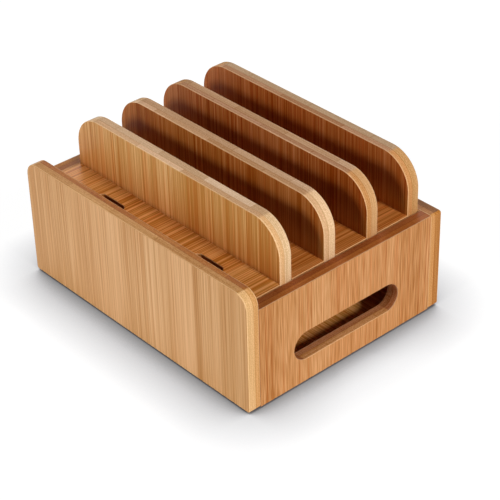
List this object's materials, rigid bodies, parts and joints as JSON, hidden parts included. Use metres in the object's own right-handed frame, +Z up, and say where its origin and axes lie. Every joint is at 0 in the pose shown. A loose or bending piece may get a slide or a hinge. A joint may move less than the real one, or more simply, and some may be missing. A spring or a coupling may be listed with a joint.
{
  "type": "charging station organizer",
  "caption": "Bamboo desk organizer for charging phones: a low box with a hand cut-out in each end and a lift-off slotted tray of upright dividers with rounded top corners.",
  "frame": {"origin": "on the table, under the middle of the box", "axes": "+X along the long side to the viewer's right, +Y from the front panel to the back panel, +Z up"},
  "size_m": [0.17, 0.13, 0.0889],
  "materials": {
    "bamboo_wall": "satin lacquered bamboo, upright grain",
    "bamboo_divider": "satin lacquered bamboo, upright grain",
    "bamboo_deck": "satin lacquered bamboo, darker carbonised strips across the length",
    "bamboo_floor": "plain sanded bamboo",
    "dowel_wood": "plain beech dowel",
    "screw_steel": "zinc-plated",
    "pad_rubber": "matt anti-slip"
  },
  "bodies": {
    "box": {"front_panel": "bamboo_wall", "back_panel": "bamboo_wall", "left_end_panel": "bamboo_wall", "right_end_panel": "bamboo_wall", "floor_panel": "bamboo_floor", "left_tray_rest": "bamboo_floor", "right_tray_rest": "bamboo_floor", "corner_dowels": "dowel_wood", "front_left_foot_pad": "pad_rubber", "front_right_foot_pad": "pad_rubber", "back_left_foot_pad": "pad_rubber", "back_right_foot_pad": "pad_rubber"},
    "divider_tray": {"tray_deck": "bamboo_deck", "divider_1": "bamboo_divider", "divider_2": "bamboo_divider", "divider_3": "bamboo_divider", "divider_4": "bamboo_divider", "divider_screws": "screw_steel"}
  },
  "joints": [
    {"name": "tray_lift", "type": "slide", "parent": "box", "child": "divider_tray", "axis": [0, 0, 1], "range_m": [0, 0.06]}
  ]
}
